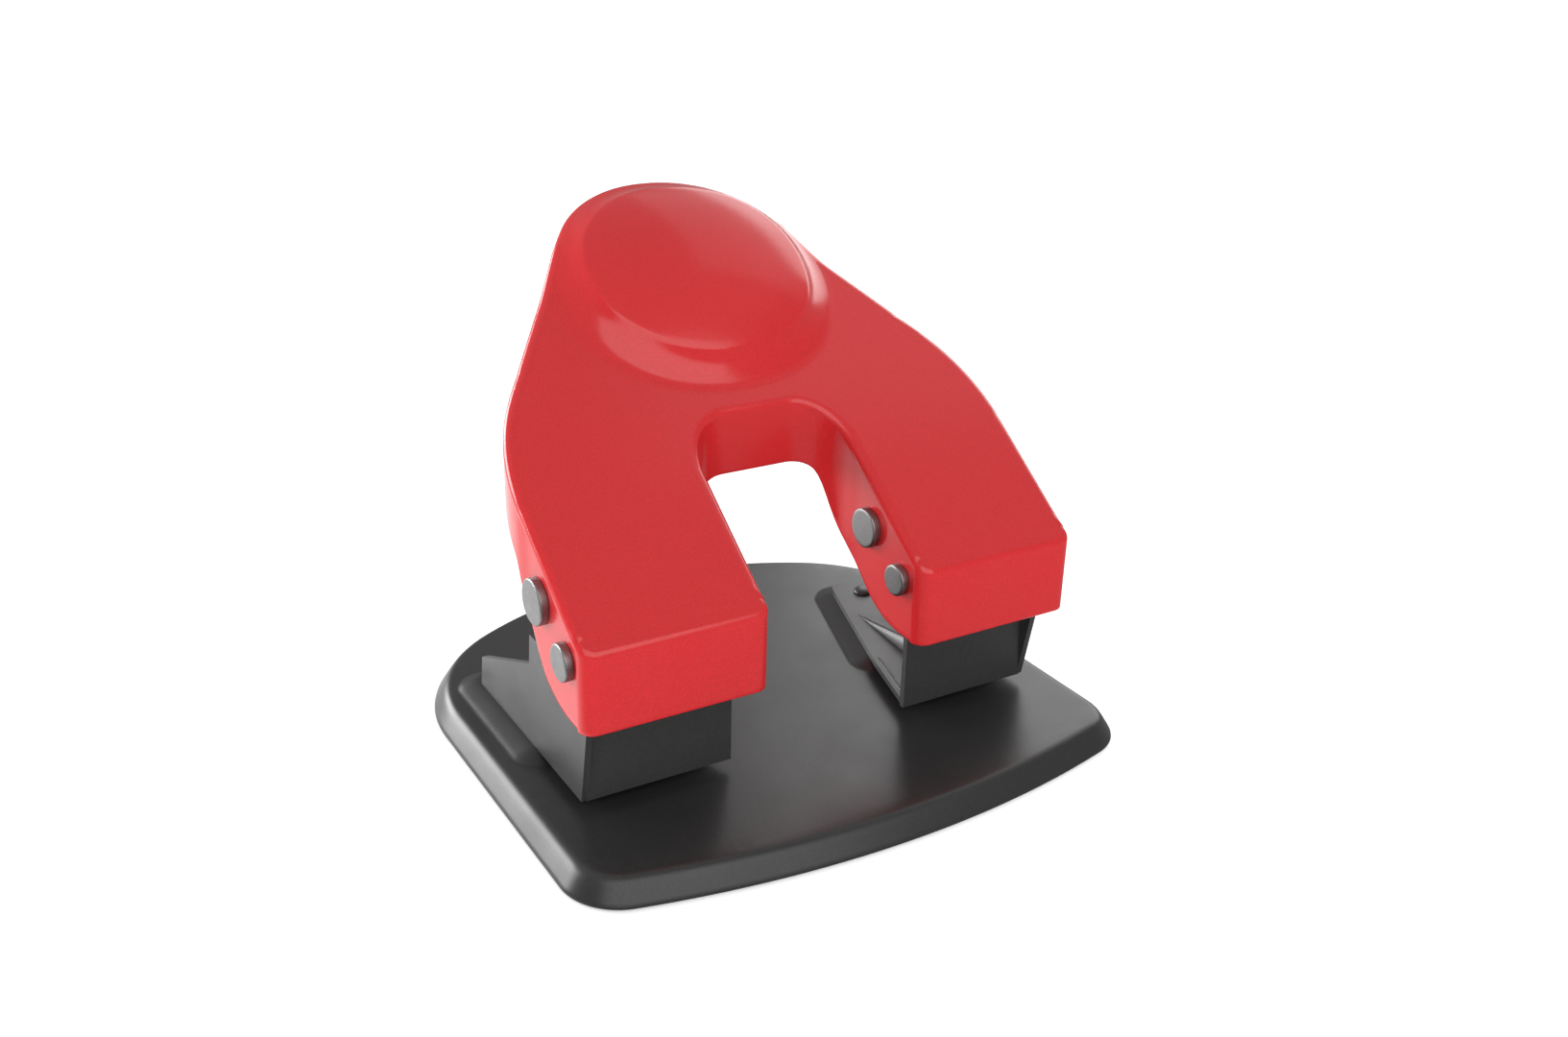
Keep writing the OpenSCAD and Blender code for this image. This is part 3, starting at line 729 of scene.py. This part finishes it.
def bracket_ribs(side, sign):
    """The pressed dart behind the punch, and the bead along the floor's inner edge."""
    node = f"bracket_{side}"
    front, rear = 30, 51
    y = np.linspace(front, rear, 24)
    grow = np.clip((rear - y) / 20, 0, 1)
    half_round(f"{node}_dart", node, np.stack([sign * (HEAD_X - 0.5) + 0 * y, y], 1)[::sign],
               (1.9 + 2.3 * grow)[::sign], (0.2 + 3.2 * grow ** 1.1)[::sign])
    t = np.linspace(0, 1, 24)
    y = 11.6 + 19 * t                           # along the floor's bent inner edge, 1.5 mm in
    x = sign * (np.where(y < 29, 22.9 + (y - 9.5) * 0.272, 28.2 + (y - 29) * 0.329) + 1.5)
    fade = np.clip(np.minimum(t, 1 - t) * 12, 0.05, 1)
    half_round(f"{node}_bead", node, np.stack([x, y], 1)[::sign],
               (0.9 * fade)[::sign], (0.32 * fade)[::sign])


def bevelled(node, width=0.22):
    """A copy of a CAD node with its sharp edges rounded."""
    bm = bmesh.new()
    bm.from_mesh(frame["nodes"][node].data)
    bmesh.ops.remove_doubles(bm, verts=bm.verts, dist=0.01 * MM)
    bmesh.ops.dissolve_limit(bm, angle_limit=math.radians(0.6), verts=bm.verts, edges=bm.edges)
    edges = [e for e in bm.edges if len(e.link_faces) == 2
             and e.calc_face_angle(0) > math.radians(30)]
    bmesh.ops.bevel(bm, geom=edges, offset=width * MM, segments=2, profile=0.5,
                    affect="EDGES", clamp_overlap=True)
    add_piece(node + "_formed", bm, [node], sharp=50)


# ---------- materials ----------

class Graph:
    """A node material under construction: its nodes, links and Principled shader."""

    def __init__(self, name):
        self.mat = bpy.data.materials.new(name)
        self.mat.use_nodes = True
        self.nodes = self.mat.node_tree.nodes
        self.links = self.mat.node_tree.links
        self.shader = self.nodes["Principled BSDF"]
        self.place = self.nodes.new("ShaderNodeTexCoord").outputs["Object"]

    def set(self, **values):
        """Sets inputs of the shader to constants."""
        for key, value in values.items():
            self.shader.inputs[key.replace("_", " ")].default_value = value
        return self

    def link(self, out, key):
        """Links an output to an input of the shader."""
        self.links.new(out, self.shader.inputs[key])

    def noise(self, per_metre, detail=2.0, stretch=(1, 1, 1)):
        """Noise with so many grains per metre, stretched along the axes."""
        scale = self.nodes.new("ShaderNodeMapping")
        scale.inputs["Scale"].default_value = [s * per_metre for s in stretch]
        self.links.new(self.place, scale.inputs["Vector"])
        tex = self.nodes.new("ShaderNodeTexNoise")
        tex.inputs["Scale"].default_value = 1.0
        tex.inputs["Detail"].default_value = detail
        tex.inputs["Roughness"].default_value = 0.5
        self.links.new(scale.outputs[0], tex.inputs["Vector"])
        return tex.outputs["Fac"]

    def ramp(self, fac, stops):
        """A colour ramp with two stops of (position, colour or grey)."""
        node = self.nodes.new("ShaderNodeValToRGB")
        for stop, (at, value) in zip(node.color_ramp.elements, stops):
            stop.position = at
            stop.color = value if hasattr(value, "__len__") else (value, value, value, 1)
        self.links.new(fac, node.inputs[0])
        return node.outputs["Color"]

    def bump(self, height, distance):
        """A relief of so many metres from a noise."""
        node = self.nodes.new("ShaderNodeBump")
        node.inputs["Distance"].default_value = distance
        node.inputs["Strength"].default_value = 1.0
        self.links.new(height, node.inputs["Height"])
        return node.outputs["Normal"]


def shade(rgb, k):
    """A colour made lighter or darker by the factor k."""
    return (rgb[0] * k, rgb[1] * k, rgb[2] * k, 1)


def paint(name, rgb, rough, grain, speckle, gloss=0.5):
    """Sprayed enamel: fine speckle in the colour, orange peel in the surface."""
    g = Graph(name)
    dots = g.noise(3600, 1.0)
    g.link(g.ramp(dots, [(0.3, shade(rgb, 1 - speckle)), (0.7, shade(rgb, 1 + speckle))]),
           "Base Color")
    wide = g.noise(90, 3.0)
    g.link(g.ramp(wide, [(0.3, rough - 0.03), (0.7, rough + 0.03)]), "Roughness")
    g.link(g.bump(g.noise(650, 1.0), grain), "Normal")
    return g.set(Specular_IOR_Level=gloss).mat


def steel(name, grey, rough, stretch=(1, 1, 1), tint=(1, 1, 1)):
    """Bare or plated metal with a drawn or ground texture."""
    g = Graph(name)
    lines = g.noise(2600, 3.0, stretch)
    rgb = [grey * t for t in tint]
    g.link(g.ramp(lines, [(0.25, shade(rgb, 0.86)), (0.75, shade(rgb, 1.12))]), "Base Color")
    g.link(g.ramp(g.noise(300, 4.0), [(0.3, rough - 0.06), (0.7, rough + 0.06)]), "Roughness")
    g.link(g.bump(lines, 1.5e-6), "Normal")
    return g.set(Metallic=1.0).mat


def moulded(name, rgb, rough, grain):
    """Plastic or rubber with the fine texture of its mould."""
    g = Graph(name)
    cells = g.noise(1800, 4.0)
    g.link(g.ramp(cells, [(0.3, shade(rgb, 0.85)), (0.7, shade(rgb, 1.15))]), "Base Color")
    g.link(g.ramp(g.noise(120, 2.0), [(0.3, rough - 0.05), (0.7, rough + 0.05)]), "Roughness")
    g.link(g.bump(cells, grain), "Normal")
    return g.mat


RED = (0.60, 0.022, 0.026)
MATERIALS = {
    "handle_paint": paint("handle_paint", RED, 0.17, 1.2e-6, speckle=0.11, gloss=0.45),
    "base_paint": paint("base_paint", (0.022, 0.022, 0.022), 0.34, 3e-6, speckle=0.25),
    # the brackets' black is a lighter grey than the base's: the extra lightness is painted light for
    # their lit side walls
    "bracket_paint": paint("bracket_paint", (0.040, 0.040, 0.040), 0.36, 2e-6, speckle=0.2),
    "pin_steel": steel("pin_steel", 0.27, 0.45),
    "plated_steel": steel("plated_steel", 0.62, 0.28, tint=(1, 0.99, 0.95)),
    "tool_steel": steel("tool_steel", 0.60, 0.22, stretch=(1, 1, 0.05)),
    "spring_steel": steel("spring_steel", 0.45, 0.30),
    "rubber": moulded("rubber", (0.016, 0.016, 0.016), 0.82, 2e-5),
    "tray_plastic": moulded("tray_plastic", (0.020, 0.020, 0.021), 0.55, 1e-5),
    "nylon": moulded("nylon", (0.66, 0.65, 0.58), 0.45, 5e-6),
}


# ---------- stage ----------

STUDIO_R, STUDIO_H = 1.75, 2.4                   # metres
CAMERA_TURN, CAMERA_DOWN, CAMERA_ROLL = -31.8, 23.14, 1.63      # degrees
CAMERA_AT, CAMERA_LENS = (-166.25, -240.81, 188.73), 35.48


def studio_surface(name, rings, emission):
    """A plain white surface of the studio, through rings given as (radius, height) in metres."""
    n = 96
    t = np.linspace(0, 2 * np.pi, n, endpoint=False)
    points = [(r * math.cos(a), r * math.sin(a), z) for r, z in rings for a in t]
    faces = bridge([np.arange(i * n, (i + 1) * n) for i in range(len(rings))])
    mesh = bpy.data.meshes.new(name)
    mesh.from_pydata(points, [], faces or [tuple(range(n))])
    obj = bpy.data.objects.new(name, mesh)
    bpy.context.scene.collection.objects.link(obj)
    g = Graph(name)
    g.set(Base_Color=(0.92, 0.92, 0.92, 1), Roughness=0.9, Specular_IOR_Level=0.0)
    g.set(Emission_Color=(1, 1, 1, 1), Emission_Strength=emission)
    mesh.materials.append(g.mat)
    obj.visible_glossy = False
    return obj


def floor():
    studio_surface("floor", [(STUDIO_R, 0)], 0.42)


def backdrop():
    """White walls that only the camera sees; the light comes from the world and the lamps."""
    wall = studio_surface("backdrop", [(STUDIO_R, 0), (STUDIO_R, STUDIO_H)], 1.0)
    wall.visible_diffuse = wall.visible_shadow = False


def area_light(name, at, target, size, power):
    """A soft rectangular lamp at a place in metres, aimed at another."""
    data = bpy.data.lights.new(name, "AREA")
    data.shape = "RECTANGLE"
    data.size, data.size_y = size
    data.energy = power
    obj = bpy.data.objects.new(name, data)
    bpy.context.scene.collection.objects.link(obj)
    obj.location = at
    obj.rotation_euler = (Vector(target) - Vector(at)).to_track_quat("-Z", "Y").to_euler()
    obj.visible_camera = False


def world():
    """A studio with one wide pale ceiling and dim walls, paler low down behind the object."""
    made = bpy.data.worlds.new("studio")
    made.use_nodes = True
    nodes, links = made.node_tree.nodes, made.node_tree.links
    toward = nodes.new("ShaderNodeTexCoord").outputs["Generated"]

    def glow(direction, dim, bright):
        """A grey that goes from dim to bright towards a direction. Both are (position, value), and
        the position is 0.5 more than the dot product with the direction."""
        dot = nodes.new("ShaderNodeVectorMath")
        dot.operation = "DOT_PRODUCT"
        links.new(toward, dot.inputs[0])
        dot.inputs[1].default_value = direction
        centred = nodes.new("ShaderNodeMath")   # adds
        centred.inputs[1].default_value = 0.5
        links.new(dot.outputs["Value"], centred.inputs[0])
        ramp = nodes.new("ShaderNodeValToRGB")
        links.new(centred.outputs[0], ramp.inputs[0])
        for stop, (position, value) in zip(ramp.color_ramp.elements, (dim, bright)):
            stop.position = position
            stop.color = (value, value, value, 1)
        return ramp.outputs["Color"]

    ceiling = glow((0.0, 0.06, 0.47), (0.78, 0.30), (0.83, 0.52))
    low_rear = glow((-0.05, 0.20, -0.45), (0.72, 0.0), (0.86, 1.15))
    total = nodes.new("ShaderNodeVectorMath")
    links.new(ceiling, total.inputs[0])
    links.new(low_rear, total.inputs[1])
    links.new(total.outputs[0], nodes["Background"].inputs[0])
    nodes["Background"].inputs[1].default_value = 1.0
    bpy.context.scene.world = made


def lights():
    """A lamp over the right side, two behind for the rims, and one wide lamp in front."""
    aim = (0, 0, 0.05)
    area_light("overhead", (0.95, 0.45, 1.1), (0.95, 0.45, 0.0), (1.0, 1.1), 1.3)
    area_light("left_rear", (-0.9, 1.2, 0.34), aim, (1.3, 0.64), 25)
    area_light("right_rear", (1.25, 0.85, 0.64), aim, (1.3, 0.95), 9)
    area_light("front", (-0.30, -1.12, 0.88), aim, (2.2, 1.2), 15)


def camera():
    """A camera at the photograph's angle; the rotation's columns are right, up and back."""
    yaw, pitch, roll = (math.radians(a) for a in (CAMERA_TURN, CAMERA_DOWN, CAMERA_ROLL))
    back = Vector((math.sin(yaw) * math.cos(pitch), -math.cos(yaw) * math.cos(pitch),
                   math.sin(pitch)))
    right = Vector((0, 0, 1)).cross(back).normalized()
    up = back.cross(right)
    rolled_right = math.cos(roll) * right + math.sin(roll) * up
    rolled_up = math.cos(roll) * up - math.sin(roll) * right
    data = bpy.data.cameras.new("camera")
    data.sensor_width = 36
    data.lens = CAMERA_LENS
    data.clip_start, data.clip_end = 0.01, 50
    obj = bpy.data.objects.new("camera", data)
    obj.matrix_world = Matrix.Translation(place(CAMERA_AT)) @ Matrix(
        (rolled_right, rolled_up, back)).transposed().to_4x4()
    bpy.context.scene.collection.objects.link(obj)
    bpy.context.scene.camera = obj


for node, obj in frame["nodes"].items():
    obj.data.materials.clear()
    obj.data.materials.append(MATERIALS[SLOTS[node]])
handle()
base_plate()
hinge_lugs()
for side, sign in SIDES.items():
    head_at = (sign * HEAD_X, PUNCH_Y, 0)
    pins(side, sign)
    pivot_spacer(side, sign)
    punch_rod(side, head_at)
    punch_rings(side, head_at)
    rivets(side, sign)
    spring(side, sign)
    bevelled(f"bracket_{side}")
    bracket_ribs(side, sign)
    bevelled(f"retaining_clip_{side}", 0.1)
feet()
bevelled("chip_tray")
floor()
backdrop()
world()
lights()
camera()
bpy.context.scene.view_settings.view_transform = "Standard"
